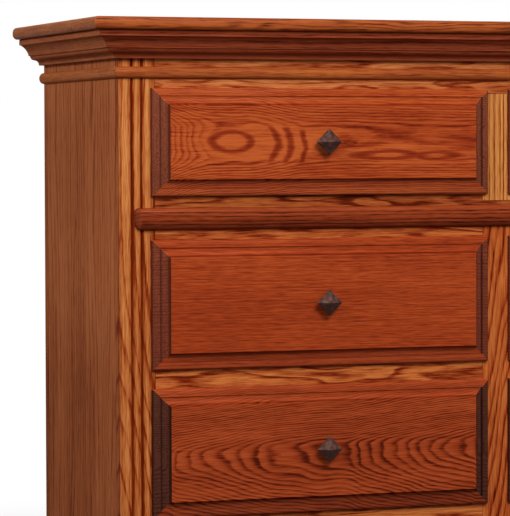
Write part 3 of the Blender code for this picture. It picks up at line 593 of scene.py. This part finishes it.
def maple_box(name, low, high):
    """Drawer-box maple: grain along each wall, and the dark end grain of dovetails at the corners."""
    material, tree = new_material(name)
    x, y, z = add(tree, "SeparateXYZ", {0: add(tree, "TexCoord").outputs["Object"]}).outputs
    aside = add(tree, "Math", {0: x}, operation="ABSOLUTE")
    aside = add(tree, "Math", {0: aside, 1: abs(low.x + high.x) / 2}, operation="SUBTRACT")
    aside = add(tree, "Math", {0: aside}, operation="ABSOLUTE")
    side = add(tree, "Math", {0: aside, 1: (high.x - low.x) / 2 - BOX_WALL}, operation="GREATER_THAN")
    ends = add(tree, "CombineXYZ", {0: x, 1: z, 2: y})
    sides = add(tree, "CombineXYZ", {0: y, 1: z, 2: x})
    board = add(tree, "Mix", {0: side, 4: ends, 5: sides}, data_type="VECTOR").outputs[1]
    colour, depth = pale_grain(tree, board, MAPLE, MAPLE_SEED)

    # The pins stand one above another and widen into the side, each with a dark line round it.
    into = from_edge(tree, y, low.y, high.y)
    up = add(tree, "Math", {0: from_mark(tree, z, PIN_PITCH)}, operation="ABSOLUTE")
    half = add(tree, "Math", {0: into, 1: PIN_FLARE, 2: PIN_HALF}, operation="MULTIPLY_ADD")
    outside = add(tree, "Math", {0: up, 1: half}, operation="SUBTRACT")
    joint = add(tree, "Math", {0: into, 1: BOX_WALL}, operation="LESS_THAN")
    joint = add(tree, "Math", {0: joint, 1: side}, operation="MULTIPLY")
    pin = add(tree, "Math", {0: outside, 1: 0.0}, operation="LESS_THAN")
    pin = add(tree, "Math", {0: pin, 1: joint}, operation="MULTIPLY")
    line = add(tree, "Math", {0: outside, 1: 0.0, 2: PIN_LINE}, operation="COMPARE")
    line = add(tree, "Math", {0: line, 1: joint}, operation="MULTIPLY")
    end_grain = add(tree, "ValToRGB", {"Fac": streaks(tree, board, 0, PIN_DOTS)}, PIN_END)
    colour = blend(tree, pin, colour, end_grain)
    colour = blend(tree, line, colour, linear(PIN_JOINT))
    finish_bare(tree, colour, depth)
    return material


def ply_back(name, low, high):
    """Stained plywood back: plain rotary veneer, and a nail head every hand's breadth along its edges."""
    material, tree = new_material(name)
    x, y, z = add(tree, "SeparateXYZ", {0: add(tree, "TexCoord").outputs["Object"]}).outputs
    board = add(tree, "CombineXYZ", {0: z, 1: x, 2: y})
    colour, depth = pale_grain(tree, board, VENEER, VENEER_SEED)
    rows = []
    for across, along, start, end in ((x, z, low.x, high.x), (z, x, low.z, high.z)):
        aside = from_edge(tree, across, start, end)
        aside = add(tree, "Math", {0: aside, 1: NAIL_INSET}, operation="SUBTRACT")
        reach = add(tree, "CombineXYZ", {0: aside, 1: from_mark(tree, along, NAIL_PITCH)})
        rows += [add(tree, "VectorMath", {0: reach}, operation="LENGTH").outputs["Value"]]
    nearest = add(tree, "Math", {0: rows[0], 1: rows[1]}, operation="MINIMUM")
    nail = add(tree, "Math", {0: nearest, 1: NAIL_RADIUS}, operation="LESS_THAN")
    finish_bare(tree, blend(tree, nail, colour, linear(NAIL_HEAD)), depth)
    return material


def rubbed_bronze(name):
    """Cast bronze in an oil finish: near black, soft sheen, with painted light that makes the upper facets
    browner and the lower ones darker.
    """
    material, tree = new_material(name)
    place = add(tree, "TexCoord").outputs["Object"]
    patches = add(tree, "TexNoise", {"Vector": place, "Scale": BRONZE_PATCHES, "Detail": 3.0})
    # Painted light: upper facets lighter and lower facets darker, on top of the patches.
    made_lighter = add(tree, "Math", {0: facing(tree, "Z"), 1: FACET_PAINTED_LIGHT, 2: patches}, operation="MULTIPLY_ADD")
    colour = add(tree, "ValToRGB", {"Fac": made_lighter}, BRONZE)
    grit = add(tree, "TexNoise", {"Vector": place, "Scale": BRONZE_GRIT, "Detail": 2.0})
    rough = add(tree, "MapRange", {"Value": patches, **BRONZE_ROUGH})
    bump = add(tree, "Bump", {"Height": grit, **BRONZE_RELIEF})
    finish_material(tree, Base_Color=colour, Roughness=rough, Normal=bump, Metallic=0.1,
                    Specular_IOR_Level=0.1)
    return material


def seen_rays(tree):
    """1 for rays that show a surface: straight to the camera, mirrored or through glass."""
    path = add(tree, "LightPath").outputs
    seen = add(tree, "Math", {0: path["Is Camera Ray"], 1: path["Is Glossy Ray"]}, operation="MAXIMUM")
    return add(tree, "Math", {0: seen, 1: path["Is Transmission Ray"]}, operation="MAXIMUM")


def paper_floor(name):
    """Matt white studio paper: it keeps the chest's shadow near by and fades to the white background."""
    material, tree = new_material(name)
    place = add(tree, "TexCoord").outputs["Object"]
    mottle = add(tree, "TexNoise", {"Vector": place, "Scale": PAPER_MOTTLE, "Detail": 3.0})
    colour = add(tree, "ValToRGB", {"Fac": mottle}, PAPER)
    seen = seen_rays(tree)
    paper = add(tree, "BsdfDiffuse", {"Color": blend(tree, seen, linear(PAPER_BOUNCE), colour)})
    reach = add(tree, "VectorMath", {0: place}, operation="LENGTH").outputs["Value"]
    far = add(tree, "MapRange", {"Value": reach, **PAPER_FADE}, interpolation_type="SMOOTHSTEP")
    share = add(tree, "Math", {0: far, 1: PAPER_GLOW}, operation="MAXIMUM")
    share = add(tree, "Math", {0: share, 1: seen}, operation="MULTIPLY")
    white = add(tree, "Emission", {"Color": linear(WHITE), "Strength": 1.0})
    surface = add(tree, "MixShader", {0: share, 1: paper, 2: white})
    add(tree, "OutputMaterial", {"Surface": surface})
    return material


def start_piece(name, mesh):
    """A new object that alone is selected and active."""
    bpy.ops.object.select_all(action="DESELECT")
    piece = bpy.data.objects.new(name, mesh)
    bpy.context.scene.collection.objects.link(piece)
    piece.select_set(True)
    bpy.context.view_layer.objects.active = piece
    return piece


def stand_in(piece, node, material):
    """The piece takes the CAD node's place and body, and its own material."""
    piece.data.materials.clear()
    piece.data.materials.append(material)
    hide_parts(node)
    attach(piece, BODY_OF[node])


def finish_node(node, material):
    """A CAD node that is carried over takes a material."""
    frame["nodes"][node].material_slots[0].material = material


def eased_copy(node, ease, material):
    """A merged copy of a CAD solid with its arrises eased."""
    piece = start_piece("eased_" + node, frame["nodes"][node].data.copy())
    bpy.ops.mesh.customdata_custom_splitnormals_clear()
    bpy.ops.object.mode_set(mode="EDIT")
    bpy.ops.mesh.select_all(action="SELECT")
    bpy.ops.mesh.remove_doubles(threshold=MERGE)
    bpy.ops.mesh.dissolve_limited(angle_limit=FLAT_ANGLE)
    bpy.ops.object.mode_set(mode="OBJECT")
    easing = piece.modifiers.new("easing", "BEVEL")
    easing.width = ease
    easing.segments = EASE_SEGMENTS
    easing.limit_method = "ANGLE"
    easing.angle_limit = ARRIS_ANGLE
    bpy.ops.object.modifier_apply(modifier=easing.name)
    bpy.ops.object.shade_smooth_by_angle(angle=ARRIS_ANGLE)
    level = piece.modifiers.new("level_faces", "WEIGHTED_NORMAL")
    level.keep_sharp = True
    bpy.ops.object.modifier_apply(modifier=level.name)
    stand_in(piece, node, material)


def edge_steps():
    """Inset and rise of each step of a drawer front's moulded edge."""
    turns = [math.pi / 2 * step / EDGE_STEPS for step in range(EDGE_STEPS + 1)]
    points = [(THUMB_WIDTH * (1 - math.cos(t)), THUMB_RISE * math.sin(t)) for t in turns]
    floor = THUMB_RISE - QUIRK_DROP
    foot = THUMB_WIDTH + QUIRK_WALL + QUIRK_FLOOR
    points += [(THUMB_WIDTH + QUIRK_WALL, floor)]
    chord = 2 * math.sin(COVE_TURN / 2)
    for angle in [COVE_TURN * (step / EDGE_STEPS - 0.5) for step in range(EDGE_STEPS + 1)]:
        along = 0.5 + math.sin(angle) / chord
        sag = (math.cos(angle) - math.cos(COVE_TURN / 2)) / chord
        points += [(foot + COVE_WIDTH * along + COVE_RISE * sag,
                    floor + COVE_RISE * along - COVE_WIDTH * sag)]
    points += [(points[-1][0] + ARRIS_WIDTH, points[-1][1] + ARRIS_RISE)]
    return [(b[0] - a[0], b[1] - a[1]) for a, b in zip(points, points[1:])]


def moulded_front(node):
    """Drawer front worked from a board: each step of its edge is an inset of the face."""
    low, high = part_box(node)
    lip_face = high.y - LIP
    bpy.ops.object.select_all(action="DESELECT")
    bpy.ops.mesh.primitive_cube_add(
        size=1.0, location=((low.x + high.x) / 2, (lip_face + high.y) / 2, (low.z + high.z) / 2),
        scale=(high.x - low.x, LIP, high.z - low.z))
    bpy.ops.object.transform_apply(location=True, rotation=True, scale=True)
    front = bpy.context.object
    bpy.ops.object.mode_set(mode="EDIT")
    bpy.ops.mesh.select_mode(type="FACE")
    bpy.ops.mesh.select_all(action="DESELECT")
    bpy.ops.object.mode_set(mode="OBJECT")
    for face in front.data.polygons:
        face.select = face.normal.y < FACES_OUT
    bpy.ops.object.mode_set(mode="EDIT")
    for inset, rise in edge_steps():
        bpy.ops.mesh.inset(thickness=inset, depth=rise)
    bpy.ops.object.mode_set(mode="OBJECT")
    bpy.ops.object.shade_smooth_by_angle(angle=ARRIS_ANGLE)
    return front


def place_front(pattern, first, node, material):
    """A copy of the moulded front that stands where this node is."""
    front = start_piece("moulded_" + node, pattern.data.copy())
    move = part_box(node)[0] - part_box(first)[0]
    bpy.ops.transform.translate(value=move)
    bpy.ops.object.transform_apply(location=True, rotation=True, scale=True)
    stand_in(front, node, material)


def middle(node):
    """The middle of a CAD node's box."""
    low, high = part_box(node)
    return (low + high) / 2


def on_axis(vector, axis):
    """A vector's part along a named axis."""
    return vector["XYZ".index(axis)]


# Figure of a drawer front: how far the year lines move along it (at shares of its length), half the
# height of the strip where they run straight across, how much steeper they are above than below, eyes
# that draw them in (place from the front's middle, half length, half height and rise), dark rings (the
# same, with a width for the rise), dark strokes (place, half height, width and bend) and clear ground
# (place, half length, half height and share).
PLAIN = {"lean": 0.0, "eyes": [], "rings": [], "strokes": [], "clear": []}
LONG_EYE = {**PLAIN, "reach": 0.038, "flat": 0.020, "eyes": [(-0.181, 0.004, 0.11, 0.055, 0.0060)],
            "rings": [(-0.177, 0.001, 0.0365, 0.0168, 0.36), (0.114, -0.023, 0.052, 0.0070, 0.7),
                      (0.210, -0.024, 0.034, 0.0060, 0.8), (0.045, -0.002, 0.010, 0.0025, 1.0)],
            "strokes": [(-0.089, -0.003, 0.034, 0.0115, 0.021), (-0.067, -0.005, 0.034, 0.0105, 0.012),
                        (-0.039, -0.008, 0.031, 0.0090, 0.009)],
            "clear": [(-0.117, -0.001, 0.165, 0.042, 1.0), (-0.262, 0.003, 0.10, 0.060, 0.55),
                      (0.148, -0.021, 0.14, 0.022, 1.0)],
            "stops": [(0.0, 0.0), (0.05, 0.27), (0.10, 0.50), (0.15, 0.63), (0.20, 0.66), (0.29, 0.66),
                      (0.334, 0.735), (0.378, 0.825), (0.428, 0.915), (0.50, 0.95), (0.75, 0.975),
                      (1.0, 1.0)]}
TWO_PEAKS = {**PLAIN, "reach": 0.088, "flat": 0.008, "lean": 0.28,
             "stops": [(0.0, 1.0), (0.06, 0.95), (0.30, 0.68), (0.45, 0.55), (0.60, 0.44), (0.95, 0.03),
                       (1.0, 0.0)]}
SLOW_PEAK = {**PLAIN, "reach": 0.040, "flat": 0.006,
             "stops": [(0.0, 0.0), (0.25, 0.15), (0.45, 0.55), (0.60, 0.75), (0.80, 0.82), (1.0, 1.0)]}
LATE_PEAK = {**PLAIN, "reach": 0.044, "flat": 0.010,
             "stops": [(0.0, 1.0), (0.30, 0.92), (0.50, 0.75), (0.70, 0.40), (0.85, 0.18), (1.0, 0.0)]}

# How a board was cut from the log: heart (aside, behind), width of a year, the share of it that is dark
# and how uneven it is, how far the year lines wander and in what cells, how much they slant and below
# what level, and the contrast of the lines and of the fibre. A front's cut also has painted light and shade
# on the top band, which faces the light, and on the lower thumb, which faces away from it.
FIGURED = {"ring": 0.0034, "dark": 0.46, "uneven": 0.3, "wander": 0.007, "cell": (0.20, 0.05),
           "lines": 0.90, "fibre": 0.45, "top": 0.0, "low": -0.10}
BROAD = {"ring": 0.0047, "dark": 0.46, "uneven": 0.3, "wander": 0.015, "cell": (0.16, 0.05),
         "lines": 1.00, "fibre": 0.40, "top": -0.05, "low": 0.05}
QUIET = {"ring": 0.0050, "dark": 0.40, "uneven": 1.5, "wander": 0.012, "cell": (0.30, 0.06),
         "lines": 0.30, "fibre": 0.62, "top": 0.08, "low": -0.14}
SLANTED = {"heart": (0.30, 0.10), "ring": 0.0190, "dark": 0.26, "uneven": 0.9, "wander": 0.026,
           "cell": (0.40, 0.05), "slant": (-0.26, 0.74), "lines": 0.62, "fibre": 0.55}
FINE = {"heart": (0.30, 0.10), "ring": 0.0085, "dark": 0.42, "uneven": 0.9, "wander": 0.006,
        "cell": (0.50, 0.06), "lines": 1.00, "fibre": 0.45}
SWEEP = {"heart": (0.30, 0.10), "ring": 0.0150, "dark": 0.42, "uneven": 0.9, "wander": 0.050,
         "cell": (0.30, 0.06), "slant": (0.24, 0.80), "lines": 0.92, "fibre": 0.45}
FLAME = {"heart": (0.02, 0.12), "ring": 0.0085, "dark": 0.50, "uneven": 1.0, "wander": 0.055,
         "cell": (0.20, 0.034), "lines": 1.05, "fibre": 0.60}
LINED = {"heart": (0.25, 0.08), "ring": 0.0085, "dark": 0.40, "uneven": 1.5, "wander": 0.012,
         "cell": (0.40, 0.04), "lines": 0.85, "fibre": 0.50}
CALM = {"heart": (0.25, 0.10), "ring": 0.0110, "dark": 0.45, "uneven": 1.5, "wander": 0.020,
        "cell": (0.30, 0.06), "lines": 0.25, "fibre": 0.50}
RIPPLED = {"heart": (0.07, 0.03), "ring": 0.0060, "dark": 0.48, "uneven": 1.2, "wander": 0.038,
           "cell": (0.22, 0.030), "lines": 0.95, "fibre": 0.55}
GLUED = {"heart": (0.07, 0.03), "ring": 0.0065, "dark": 0.45, "uneven": 1.2, "wander": 0.030,
         "cell": (0.50, 0.05), "lines": 0.60, "fibre": 0.50}

# Each drawer front's tone, heart (above its middle, behind its face), cut and figure. Its seed comes
# from its row and its column.
FRONT_SEED = 40
COLUMN_SEED = 10
FRONT_CUTS = {
    ("left", 1): ("red", 0.000, 0.030, FIGURED, LONG_EYE),
    ("left", 2): ("russet", 0.260, 0.060, QUIET, None),
    ("left", 3): ("deep_red", -0.004, 0.020, BROAD, TWO_PEAKS),
    ("left", 4): ("deep_red", 0.015, 0.040, FIGURED, SLOW_PEAK),
    ("right", 1): ("red", -0.010, 0.040, FIGURED, LATE_PEAK),
    ("right", 2): ("russet", -0.010, 0.040, BROAD, SLOW_PEAK),
    ("right", 3): ("deep_red", -0.240, 0.060, QUIET, None),
    ("right", 4): ("deep_red", 0.010, 0.036, BROAD, LATE_PEAK),
}

# Where a board's stain deepens, and where light and shade are painted on it: axis, two shares of its size, an
# amount and how far the edge strays.
# On the side panels: paler at the very top, a darker band below it, and painted shade that darkens their
# lower part.
SIDE_BANDS_AND_SHADE = [("Z", 0.86, 0.93, -0.05, 0.020), ("Z", 0.93, 0.86, 0.07, 0.020),
              ("Z", 0.74, 0.67, -0.05, 0.020), ("Z", 0.575, 0.47, 0.18, 0.020)]
# On the crown front: painted light that pales its lower part, which stands in shade.
CROWN_PAINTED_LIGHT = [("Z", 0.40, 0.25, -0.10, 0.0)]
# On the nosing: painted shade that darkens its lower part, which faces away from the light.
NOSING_PAINTED_SHADE = [("Z", 0.50, 0.38, 0.28, 0.020)]

# An outer stile's stain and painted shade, as above: painted shade that darkens it below and on the frieze,
# under the crown, and a darker strip on its outer edge. Then across its face, as shares and an amount:
# darker at the outer arris, a painted shadow beside the drawers, and stain with painted shade round the
# middle of each groove.
STILE_STAIN_AND_SHADE = [("Z", 0.81, 0.69, 0.13, 0.020), ("Z", 0.945, 0.955, 0.10, 0.0),
               ("Y", 0.01, 0.14, 0.25, 0.0), ("Y", 0.18, 0.40, -0.25, 0.0)]
FACE_STAIN_AND_SHADOW = [(0.10, 0.05, 0.14), (0.80, 0.90, 0.30)]
GROOVE_STAIN_AND_SHADE = [(-0.150, -0.035, 0.24), (0.045, 0.120, -0.24)]
GROOVE_SHARES = (0.366, 0.637)
FACE_STRAY = 0.002


def stile_stain_and_shade(mirrored):
    """Stain and painted shade of an outer stile, whose face is mirrored on the right."""
    face = list(FACE_STAIN_AND_SHADOW)
    for groove in GROOVE_SHARES:
        face += [(groove + start, groove + end, amount) for start, end, amount in GROOVE_STAIN_AND_SHADE]
    stain = list(STILE_STAIN_AND_SHADE)
    for start, end, amount in face:
        ends = (1 - start, 1 - end) if mirrored else (start, end)
        stain += [("X", *ends, amount, FACE_STRAY)]
    return stain


# Each board: its length, width and depth axes, tone, cut and what sets it apart: the width of its
# staves, where its stain deepens and light and shade are painted on it, or a coat of its own. Its seed is its
# place in this list.
SIDE_PANEL = {"stave": 0.117, "stain_and_painted_light": SIDE_BANDS_AND_SHADE, "coat": SIDE_COAT}
TOP_SLAB = {"stave": 0.131, "coat": TOP_COAT}
NOSING = {"stain_and_painted_light": NOSING_PAINTED_SHADE, "coat": NOSING_COAT}
BOARDS = {
    "left_stile": ("ZXY", "blond", SLANTED, {"stain_and_painted_light": stile_stain_and_shade(False)}),
    "right_stile": ("ZXY", "blond", SLANTED, {"stain_and_painted_light": stile_stain_and_shade(True)}),
    "centre_stile_upper": ("ZXY", "gold", FINE, {}),
    "centre_stile_lower": ("ZXY", "copper", SWEEP, {}),
    "top_rail": ("XZY", "honey", FLAME, {}),
    "waist_rail": ("XZY", "rust", FLAME, {}),
    "under_waist_rail_left": ("XZY", "blush", FLAME, {}),
    "under_waist_rail_right": ("XZY", "blush", FLAME, {}),
    "mid_rail_left_1": ("XZY", "blush", FLAME, {}),
    "mid_rail_left_2": ("XZY", "blush", FLAME, {}),
    "mid_rail_right_1": ("XZY", "blush", FLAME, {}),
    "mid_rail_right_2": ("XZY", "blush", FLAME, {}),
    "bottom_rail": ("XZY", "blush", FLAME, {}),
    "left_side_panel": ("ZYX", "brown", GLUED, SIDE_PANEL),
    "right_side_panel": ("ZYX", "brown", GLUED, SIDE_PANEL),
    "top_slab": ("XYZ", "top", RIPPLED, TOP_SLAB),
    "crown_front": ("XZY", "dark", LINED, {"stain_and_painted_light": CROWN_PAINTED_LIGHT}),
    "crown_left": ("YZX", "crown_return_painted_light", CALM, {"coat": SIDE_COAT}),
    "crown_right": ("YZX", "crown_return_painted_light", CALM, {"coat": SIDE_COAT}),
    "bead_front": ("XZY", "rust", CALM, {}),
    "bead_left": ("YZX", "bead_return_painted_light", CALM, {"coat": SIDE_COAT}),
    "bead_right": ("YZX", "bead_return_painted_light", CALM, {"coat": SIDE_COAT}),
    "waist_nosing": ("XZY", "nosing", LINED, NOSING),
    "plinth_front": ("XZY", "deep_red", FLAME, {}),
    "plinth_left": ("YZX", "brown", CALM, {"coat": SIDE_COAT}),
    "plinth_right": ("YZX", "brown", CALM, {"coat": SIDE_COAT}),
}

for seed, (node, (axes, tone, cut, extras)) in enumerate(BOARDS.items()):
    low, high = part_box(node)
    aside, behind = cut["heart"]
    start = 0.0 if "stave" in extras else on_axis(middle(node), axes[1])
    heart = (start + aside, on_axis(middle(node), axes[2]) + behind)
    stain_and_light_bands = []
    for axis, *shares, amount, stray in extras.get("stain_and_painted_light", ()):
        span = [on_axis(low, axis) + share * on_axis(high - low, axis) for share in shares]
        stain_and_light_bands += [(axis, *span, amount, stray)]
    oak = red_oak("red_oak_" + node, axes, tone, heart, cut, seed, **{**extras, "stain_and_painted_light": stain_and_light_bands})
    eased_copy(node, MOULDING_EASE if SLOT_OF[node] == "oak_moulding" else BOARD_EASE, oak)

for rows in (UPPER_ROWS, LOWER_ROWS):
    first = f"drawer_front_left_{rows[0]}"
    pattern = moulded_front(first)
    for row in rows:
        for place, column in enumerate(COLUMNS):
            node = f"drawer_front_{column}_{row}"
            tone, above, behind, cut, figure = FRONT_CUTS[column, row]
            low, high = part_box(node)
            heart = (middle(node).z + above, low.y + behind)
            seed = FRONT_SEED + row + COLUMN_SEED * place
            oak = red_oak("red_oak_" + node, "XZY", tone, heart, cut, seed, figure, (low, high))
            place_front(pattern, first, node, oak)
    bpy.data.objects.remove(pattern)

maple = maple_box("maple_drawer_box", *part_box("drawer_box_right_1"))
poplar = bare_poplar("poplar_frame")
veneer = ply_back("stained_plywood_back", *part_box("back_panel"))
bronze = rubbed_bronze("oil_rubbed_bronze")
for row in UPPER_ROWS + LOWER_ROWS:
    finish_node(f"dust_frame_{row}", poplar)
    for column in COLUMNS:
        eased_copy(f"drawer_box_{column}_{row}", BOX_EASE, maple)
        eased_copy(f"drawer_knob_{column}_{row}", KNOB_EASE, bronze)
for column in COLUMNS:
    finish_node(f"corner_block_front_{column}", poplar)
    finish_node(f"corner_block_back_{column}", poplar)
finish_node("top_frame", poplar)
finish_node("back_panel", veneer)


def studio():
    """White paper floor, white background, a soft key, fill and back light, and the photograph's camera."""
    bpy.ops.object.select_all(action="DESELECT")
    bpy.ops.mesh.primitive_plane_add(size=FLOOR_SIZE)
    floor = bpy.context.object
    floor.name = "paper_floor"
    floor.data.materials.append(paper_floor("white_studio_paper"))

    world = bpy.data.worlds.new("white_studio")
    world.use_nodes = True
    tree = world.node_tree
    tree.nodes.clear()
    soft = add(tree, "Background", {"Color": linear(WHITE), "Strength": AMBIENT})
    white = add(tree, "Background", {"Color": linear(WHITE), "Strength": 1.0})
    both = add(tree, "MixShader", {0: seen_rays(tree), 1: soft, 2: white})
    add(tree, "OutputWorld", {"Surface": both})
    bpy.context.scene.world = world

    for name, (lamp_place, size, power) in LAMPS.items():
        aim = Vector(LIGHT_AIM) - Vector(lamp_place)
        turn = aim.to_track_quat("-Z", "Y").to_euler()
        bpy.ops.object.light_add(type="AREA", location=lamp_place, rotation=turn)
        lamp = bpy.context.object
        lamp.name = name
        lamp.data.size = size
        lamp.data.energy = power

    bpy.ops.object.camera_add(location=CAMERA_PLACE, rotation=[math.radians(a) for a in CAMERA_TURN])
    camera = bpy.context.object
    camera.name = "photo_camera"
    camera.data.lens = CAMERA_LENS
    camera.data.sensor_width = CAMERA_SENSOR
    bpy.context.scene.camera = camera
    bpy.context.scene.view_settings.view_transform = "Standard"


studio()
